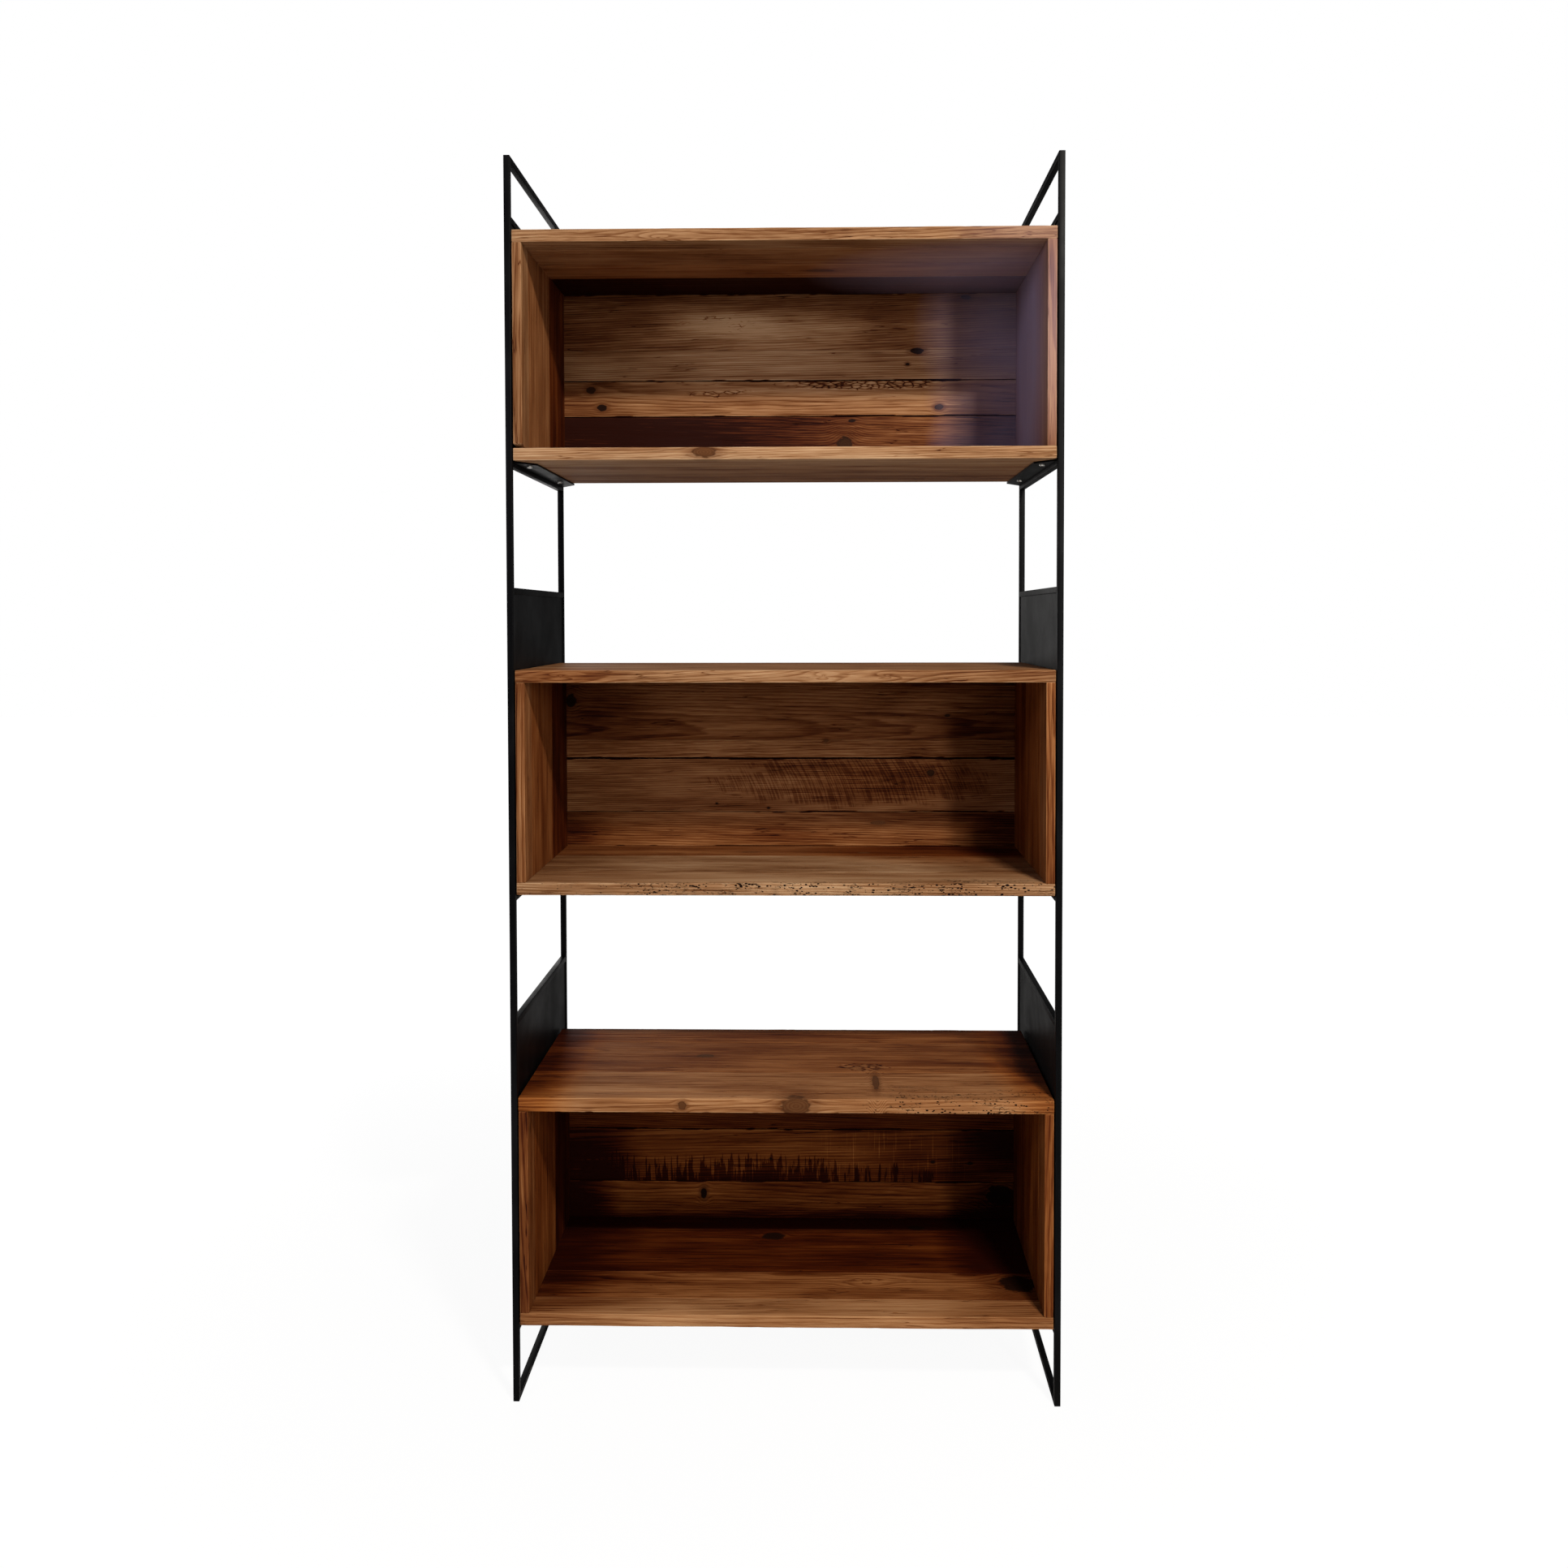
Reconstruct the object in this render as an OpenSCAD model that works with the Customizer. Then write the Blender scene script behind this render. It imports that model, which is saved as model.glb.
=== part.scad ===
// Open bookcase: three wooden box shelves carried between two welded steel side frames.
// Frame of the model: origin on the floor under the middle, X across, Y front to back, Z up.

/* [Side frames] */
// Height of the two side frames
overall_h = 2000; // [1900:10:2300]
// Width over the outsides of the two side frames
overall_w = 884; // [600:2:1200]
// Depth of the side frames, front to back
overall_d = 400; // [380:5:500]
// Thickness of the square steel bar
bar = 10; // [8:1:15]
// Thickness of the steel side sheets
sheet_t = 1.5; // [1:0.5:3]
// How far a side sheet sits behind the inner face of its bars
sheet_inset = 2; // [1:0.5:4]

/* [Flanges and screws] */
// Width of the flange that carries the end of a box
flange_w = 30; // [24:1:40]
// Thickness of the flange
flange_t = 3; // [2:0.5:5]
// Length over which the ends of the flange slant away
flange_slant = 38; // [20:1:45]
// Distance of the screws from the front and the back of a box
screw_inset = 55; // [50:1:80]
// Diameter of the screw shank
screw_d = 4; // [3:0.5:5]
// Depth of the screw's hold in the wood
screw_bite = 14; // [8:1:16]
// Diameter of the screw head
screw_head_d = 10; // [8:0.5:12]
// Height of the screw head
screw_head_h = 2.8; // [2:0.2:4]

/* [Boxes] */
// Height of the lower box's underside above the floor
lower_box_z = 124; // [80:1:200]
// Height of the middle box's underside above the floor
middle_box_z = 825; // [780:1:860]
// Height of the top box's underside above the floor
top_box_z = 1520; // [1480:1:1530]
// Height of the lower box
lower_box_h = 373; // [300:1:390]
// Height of the middle box
middle_box_h = 361; // [300:1:380]
// Height of the top box
top_box_h = 364; // [300:1:364]
// Depth of the boxes
box_d = 345; // [300:1:360]
// How far the boxes sit behind the front of the posts
box_setback = 2; // [0:0.5:6]
// Gap between a box and each side frame
box_gap = 1.5; // [0.5:0.5:4]
// Thickness of the top and bottom boards
board_t = 20; // [18:1:26]
// Thickness of the lower box's heavier top board
heavy_board_t = 23; // [18:1:30]
// Thickness of the side boards
side_t = 15; // [12:1:20]
// Thickness of the back planks
plank_t = 13; // [10:1:18]
// Play above and below the back planks
plank_play = 0.5; // [0.5:0.5:2]
// Height of the lip that covers an open joint of the back from behind
lap_h = 8; // [5:0.5:10]
// Thickness of that lip
lap_t = 5; // [3:0.5:6]

/* [Nails and dowels] */
// Diameter of the nail shank
nail_d = 2; // [1.6:0.2:3]
// Length of the nails
nail_l = 32; // [25:1:45]
// Diameter of the nail head
nail_head_d = 5; // [4:0.5:6]
// Diameter of the corner dowels
dowel_d = 8; // [6:1:8]
// Length of the corner dowels
dowel_l = 30; // [24:1:36]

/* [Hidden] */
$fn = 32;
SIDES = ["left", "right"];
BOXES = ["lower", "middle", "top"];
BOARDS = ["top_board", "bottom_board", "left_board", "right_board"];

// Underside, height and top board's thickness of the lower, middle and top boxes
box_zs = [lower_box_z, middle_box_z, top_box_z];
box_hs = [lower_box_h, middle_box_h, top_box_h];
top_ts = [heavy_board_t, board_t, board_t];
// Height of each box's upper rail above the box's top face
rail_rise = [126, 132, 22];
// Open joints below each box's upper and middle back planks
plank_gaps = [[1, 0.6], [2.5, 0.6], [1.2, 1]];
// Share of the back that the upper and the middle plank take, counted from the top
plank_shares = [[0.49, 0.30], [0.49, 0.31], [0.49, 0.20]];
// Play between a lip and the rebate that it sits in
lap_play = 0.5;

// Derived places
front_y = -overall_d / 2;
back_y = overall_d / 2;
inner_x = overall_w / 2 - bar;
rail_l = overall_d - 2 * bar;
box_w = 2 * (inner_x - box_gap);
box_y = front_y + box_setback;
side_d = box_d - plank_t;
screw_x = inner_x - flange_w / 2;
screw_ys = [box_y + screw_inset, box_y + box_d - screw_inset];
// Middle of the side boards' thickness, where their dowels and nails sit
side_mid_x = box_w / 2 - side_t / 2;
dowel_ys = [for (share = [0.08, 0.5, 0.92]) box_y + side_d * share];
// How far the dowel bores reach into the top and bottom boards, and the play at each end
dowel_reach = 12;
end_play = 1;
// Extra diameter of the flange's holes over the screws
screw_clearance = 1;
nail_head_h = 1;
// Distance of the nails from the middle of their plank, as a share of its height
nail_spread = 0.25;
// Cross recess in the screw heads
recess_w = 1.1;
recess_l = 5;
recess_d = 1.4;
// How far a cutting shape reaches past the face it cuts
cut = 1;

function box_top(b) = box_zs[b] + box_hs[b];
function inner_bottom(b) = box_zs[b] + board_t;
function inner_top(b) = box_top(b) - top_ts[b];
function inner_h(b) = inner_top(b) - inner_bottom(b);

// Height of the solid wood in the back of box b, without its play and open joints
function wood_h(b) = inner_h(b) - 2 * plank_play - plank_gaps[b][0] - plank_gaps[b][1];
function plank_h(b, i) =
    i < 2 ? wood_h(b) * plank_shares[b][i]
          : wood_h(b) * (1 - plank_shares[b][0] - plank_shares[b][1]);

// Top of back plank i of box b, counted from the top
function plank_top(b, i) =
    i == 0 ? inner_top(b) - plank_play
           : plank_top(b, i - 1) - plank_h(b, i - 1) - plank_gaps[b][i - 1];

// Builds the children for the right side, or mirrored for the left one
module on_side(side) {
    if (side == "left") mirror([1, 0, 0]) children();
    else children();
}

// ---- Side frames ----

module post(side, y) {
    color([0.05, 0.05, 0.055])
        on_side(side) translate([inner_x, y, 0]) cube([bar, bar, overall_h]);
}

module rail(side, z) {
    color([0.06, 0.06, 0.065])
        on_side(side) translate([inner_x, front_y + bar, z]) cube([bar, rail_l, bar]);
}

module side_sheet(side, b) {
    low = box_zs[b];
    high = box_top(b) + rail_rise[b] - bar;
    color([0.08, 0.08, 0.085])
        on_side(side) translate([inner_x + sheet_inset, front_y + bar, low])
            cube([sheet_t, rail_l, high - low]);
}

// Flat plate under the end of box b, welded to the support rail, with slanting ends
module flange(side, b) {
    color([0.06, 0.06, 0.065]) on_side(side) difference() {
        translate([0, 0, box_zs[b] - flange_t]) linear_extrude(flange_t)
            polygon([
                [inner_x, front_y + bar],
                [inner_x, back_y - bar],
                [inner_x - flange_w, back_y - bar - flange_slant],
                [inner_x - flange_w, front_y + bar + flange_slant]
            ]);
        for (y = screw_ys)
            translate([screw_x, y, box_zs[b] - flange_t - cut])
                cylinder(d = screw_d + screw_clearance, h = flange_t + 2 * cut);
    }
}

// ---- Boxes ----

module dowel_bores(b) {
    for (x = [-side_mid_x, side_mid_x], y = dowel_ys, z = [inner_bottom(b), inner_top(b)])
        translate([x, y, z]) rotate([z == inner_top(b) ? 180 : 0, 0, 0])
            translate([0, 0, -dowel_reach]) cylinder(d = dowel_d, h = dowel_l + 2 * end_play);
}

module screw_bores(b) {
    for (x = [-screw_x, screw_x], y = screw_ys)
        translate([x, y, box_zs[b] - cut]) cylinder(d = screw_d, h = cut + screw_bite + end_play);
}

// Places its children, a nail pointing along -Y, on every nail of back plank i of box b
module at_nails(b, i) {
    for (x = [-side_mid_x, side_mid_x], k = [-1, 1])
        translate([x, box_y + box_d, plank_top(b, i) - plank_h(b, i) * (0.5 + k * nail_spread)])
            rotate([90, 0, 0]) children();
}

module nail_bores(b, i) {
    at_nails(b, i) translate([0, 0, -cut]) {
        cylinder(d = nail_d, h = nail_l + cut);
        cylinder(d = nail_head_d, h = nail_head_h + cut);
    }
}

module top_board(b) {
    color([0.52, 0.37, 0.24]) difference() {
        translate([-box_w / 2, box_y, inner_top(b)]) cube([box_w, box_d, top_ts[b]]);
        dowel_bores(b);
    }
}

module bottom_board(b) {
    color([0.50, 0.35, 0.23]) difference() {
        translate([-box_w / 2, box_y, box_zs[b]]) cube([box_w, box_d, board_t]);
        dowel_bores(b);
        screw_bores(b);
    }
}

module side_board(side, b) {
    color([0.46, 0.32, 0.21]) difference() {
        on_side(side) translate([box_w / 2 - side_t, box_y, inner_bottom(b)])
            cube([side_t, side_d, inner_h(b)]);
        dowel_bores(b);
        for (i = [0:2]) nail_bores(b, i);
    }
}

// The planks are shiplapped: each but the uppermost has a lip behind, and each but the lowest a rebate
module back_plank(b, i) {
    low = plank_top(b, i) - plank_h(b, i);
    color([0.36, 0.24, 0.16]) difference() {
        union() {
            translate([-box_w / 2, box_y + side_d, low]) cube([box_w, plank_t, plank_h(b, i)]);
            if (i > 0)
                translate([-box_w / 2, box_y + box_d - lap_t, low])
                    cube([box_w, lap_t, plank_h(b, i) + lap_h]);
        }
        if (i < 2)
            translate([-box_w / 2 - cut, box_y + box_d - lap_t - lap_play, low - cut])
                cube([box_w + 2 * cut, lap_t + lap_play + cut, lap_h - plank_gaps[b][i] + lap_play + cut]);
        nail_bores(b, i);
    }
}

// ---- Fasteners ----

module flange_screw() {
    color("silver") difference() {
        union() {
            cylinder(d = screw_d, h = flange_t + screw_bite);
            rotate_extrude() intersection() {
                circle(d = screw_head_d);
                translate([0, -screw_head_h]) square([screw_head_d / 2, screw_head_h]);
            }
        }
        for (a = [0, 90])
            rotate(a) translate([-recess_l / 2, -recess_w / 2, -screw_head_h - cut])
                cube([recess_l, recess_w, recess_d + cut]);
    }
}

module flange_screws() {
    for (b = [0:2], x = [-screw_x, screw_x], y = screw_ys)
        translate([x, y, box_zs[b] - flange_t]) flange_screw();
}

module back_nails() {
    color("dimgray") for (b = [0:2], i = [0:2]) at_nails(b, i) {
        cylinder(d = nail_head_d, h = nail_head_h);
        cylinder(d = nail_d, h = nail_l);
    }
}

module corner_dowels() {
    color([0.80, 0.68, 0.48])
        for (b = [0:2], x = [-side_mid_x, side_mid_x], y = dowel_ys, up = [0, 1])
            translate([x, y, up == 1 ? inner_top(b) : inner_bottom(b)])
                rotate([up * 180, 0, 0])
                    translate([0, 0, end_play - dowel_reach]) cylinder(d = dowel_d, h = dowel_l);
}

// ---- Assembly ----

for (s = SIDES) {
    post(s, front_y);
    post(s, back_y - bar);
    rail(s, overall_h - bar);
    rail(s, 0);
    for (b = [0:2]) {
        name = str(s, "_", BOXES[b]);
        rail(s, box_top(b) + rail_rise[b] - bar);
        rail(s, box_zs[b] - bar);
        side_sheet(s, b);
        flange(s, b);
    }
}
for (b = [0:2]) {
    name = str(BOXES[b], "_box");
    top_board(b);
    bottom_board(b);
    side_board("left", b);
    side_board("right", b);
    for (i = [0:2])
        back_plank(b, i);
}
flange_screws();
back_nails();
corner_dowels();
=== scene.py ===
"""Looks of the open bookcase: reclaimed-wood box shelves in black steel side frames.

Every board is rebuilt round its CAD node from glued-up strips with worn edges, and every bar gets
rounded edges. All places come from the CAD boxes. Lengths are metres.
"""

import math
from collections import namedtuple

import bmesh
import bpy
import numpy as np
from mathutils import Matrix, Vector


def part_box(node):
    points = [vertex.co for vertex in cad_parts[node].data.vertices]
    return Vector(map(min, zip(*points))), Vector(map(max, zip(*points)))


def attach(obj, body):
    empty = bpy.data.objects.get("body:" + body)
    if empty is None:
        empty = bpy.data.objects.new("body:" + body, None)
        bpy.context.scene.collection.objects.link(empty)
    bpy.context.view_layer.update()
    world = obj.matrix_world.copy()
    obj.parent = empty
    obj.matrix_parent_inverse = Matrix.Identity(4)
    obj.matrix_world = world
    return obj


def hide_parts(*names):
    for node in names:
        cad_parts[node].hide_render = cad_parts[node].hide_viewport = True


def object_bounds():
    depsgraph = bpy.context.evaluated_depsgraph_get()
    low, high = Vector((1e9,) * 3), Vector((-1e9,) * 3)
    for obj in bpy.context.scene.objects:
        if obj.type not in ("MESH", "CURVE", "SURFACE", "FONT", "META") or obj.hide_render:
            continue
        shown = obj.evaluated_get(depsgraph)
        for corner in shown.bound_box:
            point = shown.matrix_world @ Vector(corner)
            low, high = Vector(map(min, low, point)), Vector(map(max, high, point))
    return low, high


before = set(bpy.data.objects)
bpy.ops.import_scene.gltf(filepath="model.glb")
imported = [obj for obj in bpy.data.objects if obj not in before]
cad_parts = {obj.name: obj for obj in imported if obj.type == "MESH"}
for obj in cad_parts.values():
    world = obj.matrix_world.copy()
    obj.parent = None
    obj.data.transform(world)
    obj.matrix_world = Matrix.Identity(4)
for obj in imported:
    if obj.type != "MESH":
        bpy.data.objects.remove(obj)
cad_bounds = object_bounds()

MM = 0.001
BODY = "root"
SIDES = ("left", "right")
BOXES = ("lower", "middle", "top")

# ---------- camera

# Where the photographer stood: right of the middle, in front of the posts, and above the floor
CAMERA_PLACE = (0.064, -2.206, 1.268)
CAMERA_YAW = 1.035
CAMERA_PITCH = 1.60
CAMERA_ROLL = -0.10
CAMERA_LENS = 29.03
CAMERA_SHIFT = (-0.0113, -0.083)
NEAREST_SEEN = 0.05


def add_camera():
    """Puts the camera where the photographer stood and turns it by yaw, pitch and roll."""
    yaw, pitch, roll = (math.radians(a) for a in (CAMERA_YAW, CAMERA_PITCH, CAMERA_ROLL))
    ahead = Vector((-math.sin(yaw), math.cos(yaw), 0))
    right = Vector((math.cos(yaw), math.sin(yaw), 0))
    up = Vector((0, 0, 1))
    look = ahead * math.cos(pitch) - up * math.sin(pitch)
    up = up * math.cos(pitch) + ahead * math.sin(pitch)
    side = right * math.cos(roll) + up * math.sin(roll)
    up = up * math.cos(roll) - right * math.sin(roll)
    data = bpy.data.cameras.new("camera")
    data.lens = CAMERA_LENS
    data.shift_x, data.shift_y = CAMERA_SHIFT
    data.clip_start = NEAREST_SEEN
    camera = bpy.data.objects.new("camera", data)
    axes = Matrix((side, up, -look)).transposed().to_4x4()
    camera.matrix_world = Matrix.Translation(CAMERA_PLACE) @ axes
    bpy.context.scene.collection.objects.link(camera)
    bpy.context.scene.camera = camera


# ---------- node helpers

# Sockets of the Mix node's colour form: its two colours, and its result
MIX_A, MIX_B, MIX_RESULT = 6, 7, 2


class Shader:
    """A material's node tree, with short calls for the nodes that the materials here use."""

    def __init__(self, name):
        self.material = bpy.data.materials.new(name)
        self.material.use_nodes = True
        self.tree = self.material.node_tree
        self.tree.nodes.clear()
        self.surface = self.add("ShaderNodeBsdfPrincipled")
        self.link(self.surface.outputs[0], self.add("ShaderNodeOutputMaterial").inputs["Surface"])

    def add(self, kind, **settings):
        node = self.tree.nodes.new(kind)
        for key, value in settings.items():
            setattr(node, key, value)
        return node

    def link(self, source, target):
        self.tree.links.new(source, target)

    def put(self, socket, value):
        """Sets a socket to a number or a colour, or links another node's output to it."""
        if isinstance(value, bpy.types.NodeSocket):
            self.link(value, socket)
        else:
            socket.default_value = value

    def coat(self, name, value):
        """Sets or links one of the surface's own sockets."""
        self.put(self.surface.inputs[name], value)

    def calc(self, operation, *values):
        node = self.add("ShaderNodeMath", operation=operation)
        for socket, value in zip(node.inputs, values):
            self.put(socket, value)
        return node.outputs[0]

    def total(self, *terms):
        """Adds terms. A term that is a pair is a value and what to multiply it by."""
        result = None
        for term in terms:
            value = self.calc("MULTIPLY", *term) if isinstance(term, tuple) else term
            result = value if result is None else self.calc("ADD", result, value)
        return result

    def vector(self, operation, *values):
        node = self.add("ShaderNodeVectorMath", operation=operation)
        for socket, value in zip(node.inputs, values):
            self.put(socket, value)
        return node

    def attribute(self, name):
        return self.add("ShaderNodeAttribute", attribute_name=name).outputs["Vector"]

    def split(self, vector):
        node = self.add("ShaderNodeSeparateXYZ")
        self.put(node.inputs[0], vector)
        return node.outputs

    def join(self, x, y, z):
        node = self.add("ShaderNodeCombineXYZ")
        for socket, value in zip(node.inputs, (x, y, z)):
            self.put(socket, value)
        return node.outputs[0]

    def stretch(self, vector, scale):
        return self.vector("MULTIPLY", vector, scale).outputs[0]

    def noise(self, vector, scale=1.0, detail=2.0, roughness=0.5, distortion=0.0):
        node = self.add("ShaderNodeTexNoise")
        self.put(node.inputs["Vector"], vector)
        for key, value in (("Scale", scale), ("Detail", detail), ("Roughness", roughness),
                           ("Distortion", distortion)):
            node.inputs[key].default_value = value
        return node.outputs["Fac"]

    def uneven(self, vector, scale=1.0, **settings):
        """Noise round 0, from about -0.5 to 0.5."""
        return self.calc("SUBTRACT", self.noise(vector, scale, **settings), 0.5)

    def cells(self, vector, feature="F1"):
        node = self.add("ShaderNodeTexVoronoi", feature=feature)
        self.put(node.inputs["Vector"], vector)
        node.inputs["Scale"].default_value = 1.0
        return node

    def between(self, value, low, high, to_low=0.0, to_high=1.0):
        """Maps low..high smoothly onto to_low..to_high, and holds the ends."""
        node = self.add("ShaderNodeMapRange", interpolation_type="SMOOTHSTEP")
        self.put(node.inputs["Value"], value)
        for key, number in (("From Min", low), ("From Max", high),
                            ("To Min", to_low), ("To Max", to_high)):
            node.inputs[key].default_value = number
        return node.outputs["Result"]

    def ramp(self, value, stops):
        node = self.add("ShaderNodeValToRGB")
        points = node.color_ramp.elements
        while len(points) < len(stops):
            points.new(0.5)
        for point, (place, colour) in zip(points, stops):
            point.position = place
            point.color = (*colour, 1)
        self.put(node.inputs[0], value)
        return node.outputs["Color"]

    def mix(self, amount, a, b, blend="MIX"):
        node = self.add("ShaderNodeMix", data_type="RGBA", blend_type=blend)
        self.put(node.inputs["Factor"], amount)
        for socket, value in ((node.inputs[MIX_A], a), (node.inputs[MIX_B], b)):
            self.put(socket, (*value, 1) if isinstance(value, tuple) else value)
        return node.outputs[MIX_RESULT]

    def bump(self, height, strength, distance):
        node = self.add("ShaderNodeBump")
        node.inputs["Strength"].default_value = strength
        node.inputs["Distance"].default_value = distance
        self.put(node.inputs["Height"], height)
        self.link(node.outputs[0], self.surface.inputs["Normal"])


# ---------- wood material

# Colours of the wood, from sawn highlights to the stain in its darkest streaks (linear)
WOOD_COLOURS = ((0.0, (0.50, 0.325, 0.185)), (0.30, (0.320, 0.170, 0.080)),
                (0.55, (0.165, 0.066, 0.023)), (0.80, (0.066, 0.016, 0.004)),
                (1.0, (0.018, 0.003, 0.001)))
# What a warm strip's colour is multiplied by
RED_TINT = (1.10, 0.69, 0.32)
KNOT_HALO = (0.105, 0.032, 0.009)
KNOT_PALE = (0.160, 0.062, 0.021)
KNOT_DARK = (0.012, 0.0034, 0.0012)
HOLE_COLOUR = (0.008, 0.003, 0.002)
# Colour of the painted haze: a cool veil of light painted over the right end of the top box
PAINTED_HAZE_COLOUR = (0.38, 0.345, 0.51)
WOOD_SPECULAR = 0.06
WOOD_ROUGHNESS = (0.54, 0.68)
WOOD_RELIEF = 0.5 * MM
# Width of a growth ring, how far the rings stray, and how dark they are from one to the next
RING_SPACING = 3.6 * MM
RING_WANDER = (0.014, 0.009)
RING_WAVER = 1.3
RING_PROFILE = ((0.0, 0.0), (0.5, 0.18), (0.84, 1.0), (0.93, 0.8), (1.0, 0.0))
# How the circular saw's scores bend and slant over a board
SAW_BEND = 2.5
SAW_SLANT = 0.40
# About how many bumps each pattern has in a metre along, across and through the grain
PATTERNS = {
    "fibre": (14, 1100, 1100), "line": (5.5, 520, 520), "streak": (2.6, 150, 150),
    "cloud": (4.0, 24, 24), "vein": (3.4, 230, 230), "ripple": (70, 190, 190),
    "wander": (1.7, 12, 12), "waver": (8, 70, 70), "check": (4.5, 125, 125),
    "checked place": (8, 42, 42), "worm hole": (150, 260, 260), "hole size": (45, 110, 110),
    "gallery": (70, 250, 250), "eaten place": (22, 80, 80), "flake": (62, 230, 230),
    "flaked place": (30, 90, 90)}
# The same for patterns on a board's face: along it, across it, and the layer of noise they come from
FACE_PATTERNS = {
    "saw score": (310, 14, 0.0), "fine score": (60, 420, 2.0), "sawn place": (26, 60, 7.0),
    "drip": (120, 9, 3.0), "score": (330, 9, 5.0)}
# How far each pattern darkens the wood, or lightens it where the number is below 0
SHADES = {
    "ring": 0.22, "streak": 0.42, "cloud": 0.74, "fibre": 0.40, "dark line": 0.20, "pale line": -0.12,
    "vein": 0.13, "check": 0.30, "saw line": 0.26, "drip": 0.36, "score": -0.26, "crack": 0.55,
    "island": -0.22, "worn": -0.16}
# How far each pattern stands out of the surface, or sinks into it
HEIGHTS = {
    "ring": -0.20, "fibre": 0.5, "dark line": -0.35, "saw line": -0.6, "drip": -0.15, "score": 0.3,
    "crack": -0.9, "check": -0.8, "eaten": -2.2}
KNOT_SLOTS = 3
# How strongly a knot pushes the grain aside, and how ragged and how ringed it is
KNOT_PUSH = 0.95
KNOT_RAGGED = 0.85
KNOT_RINGS = 4.3
# Darkness of a knot that lies below the surface: it bends the grain and is not painted
SWIRL = -1


def pattern(s, grain, name):
    """The place in the log, stretched to the scale of a pattern."""
    return s.stretch(grain, PATTERNS[name])


def face_pattern(s, along, across, name):
    """The place on a board's face, stretched to the scale of a pattern."""
    by_along, by_across, layer = FACE_PATTERNS[name]
    return s.join(s.calc("MULTIPLY", along, by_along), s.calc("MULTIPLY", across, by_across), layer)


def wood_knots(s, grain):
    """Reads the knots of a strip: how far they push the grain aside, and their halos and hearts.

    Distances count from the knot's middle, and its edge is at 1."""
    widths = s.split(s.attribute("knot_width"))
    darks = s.split(s.attribute("knot_dark"))
    ripple = s.uneven(pattern(s, grain, "ripple"), detail=3.0)
    pushes, layers = [], []
    for slot in range(KNOT_SLOTS):
        local = s.attribute(f"knot_{slot}")
        far = s.vector("LENGTH", local).outputs["Value"]
        away = s.split(s.vector("NORMALIZE", local).outputs[0])
        force = s.calc("MULTIPLY", s.between(far, 0.5, 3.6, KNOT_PUSH, 0.0), widths[slot])
        pushes.append((s.calc("MULTIPLY", force, away[1]), s.calc("MULTIPLY", force, away[2])))
        rough = s.total(far, (ripple, KNOT_RAGGED))
        halo = s.between(rough, 0.85, 2.2, 0.8, 0.0)
        heart = s.between(rough, 0.82, 1.02, 1.0, 0.0)
        rim = s.calc("MULTIPLY", heart, s.between(rough, 0.62, 0.92))
        shown = s.calc("GREATER_THAN", darks[slot], SWIRL / 2)
        layers.append((far, s.calc("MULTIPLY", halo, shown), s.calc("MULTIPLY", heart, shown),
                       s.calc("MULTIPLY", rim, shown), darks[slot]))
    return pushes, layers


def paint_knots(s, colour, layers):
    """Lays each knot over the wood: a red halo, a ringed heart and a dark rim."""
    for far, halo, heart, rim, dark in layers:
        shadow = s.calc("MULTIPLY", halo, s.between(dark, -0.4, 1.0, 0.3, 1.0))
        colour = s.mix(shadow, colour, KNOT_HALO, "DARKEN")
        turns = s.calc("FRACT", s.calc("MULTIPLY", far, KNOT_RINGS))
        pale = s.mix(s.between(turns, 0.2, 0.9, 0.0, 0.6), KNOT_PALE, KNOT_HALO)
        core = s.mix(dark, pale, KNOT_DARK)
        colour = s.mix(heart, colour, core)
        colour = s.mix(s.calc("MULTIPLY", rim, s.between(dark, 0.0, 1.0, 0.25, 0.8)), colour, KNOT_DARK)
    return colour


def wood_rings(s, grain, pushes):
    """Growth rings round the heart of the log, from 0 in pale early wood to 1 in late wood."""
    _, across, deep = s.split(grain)
    wander = s.uneven(pattern(s, grain, "wander"), detail=2.0)
    across = s.total(across, (wander, RING_WANDER[0]), *[(push, -1.0) for push, _ in pushes])
    deep = s.total(deep, (wander, RING_WANDER[1]), *[(push, -1.0) for _, push in pushes])
    radius = s.calc("SQRT", s.total((across, across), (deep, deep)))
    waver = s.uneven(pattern(s, grain, "waver"), detail=2.0)
    turns = s.total(s.calc("DIVIDE", radius, RING_SPACING), (waver, RING_WAVER))
    grey = [(place, (level,) * 3) for place, level in RING_PROFILE]
    return s.ramp(s.calc("FRACT", turns), grey)


def drying_cracks(s, grain):
    """Thin dark checks that follow the grain for a few centimetres."""
    field = s.uneven(pattern(s, grain, "check"), detail=2.0)
    line = s.between(s.calc("ABSOLUTE", field), 0.003, 0.012, 1.0, 0.0)
    place = s.noise(pattern(s, grain, "checked place"), detail=1.0)
    return s.calc("MULTIPLY", line, s.between(place, 0.53, 0.60))


def saw_marks(s, along, across, amount):
    """Curved scores left by a circular saw, in broken diagonal rows."""
    bend = s.total(along, (s.calc("MULTIPLY", across, across), SAW_BEND), (across, SAW_SLANT))
    score = s.noise(face_pattern(s, bend, across, "saw score"), detail=1.0)
    fine = s.noise(face_pattern(s, bend, across, "fine score"), detail=1.0)
    patch = s.uneven(face_pattern(s, along, across, "sawn place"), detail=2.0)
    shown = s.between(s.total(amount, (patch, 1.3)), 0.25, 0.60)
    both = s.total((s.between(score, 0.46, 0.55), 0.75), (s.between(fine, 0.50, 0.60), 0.25))
    return s.calc("MULTIPLY", s.calc("MULTIPLY", both, shown), s.between(amount, 0.02, 0.25))


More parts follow.
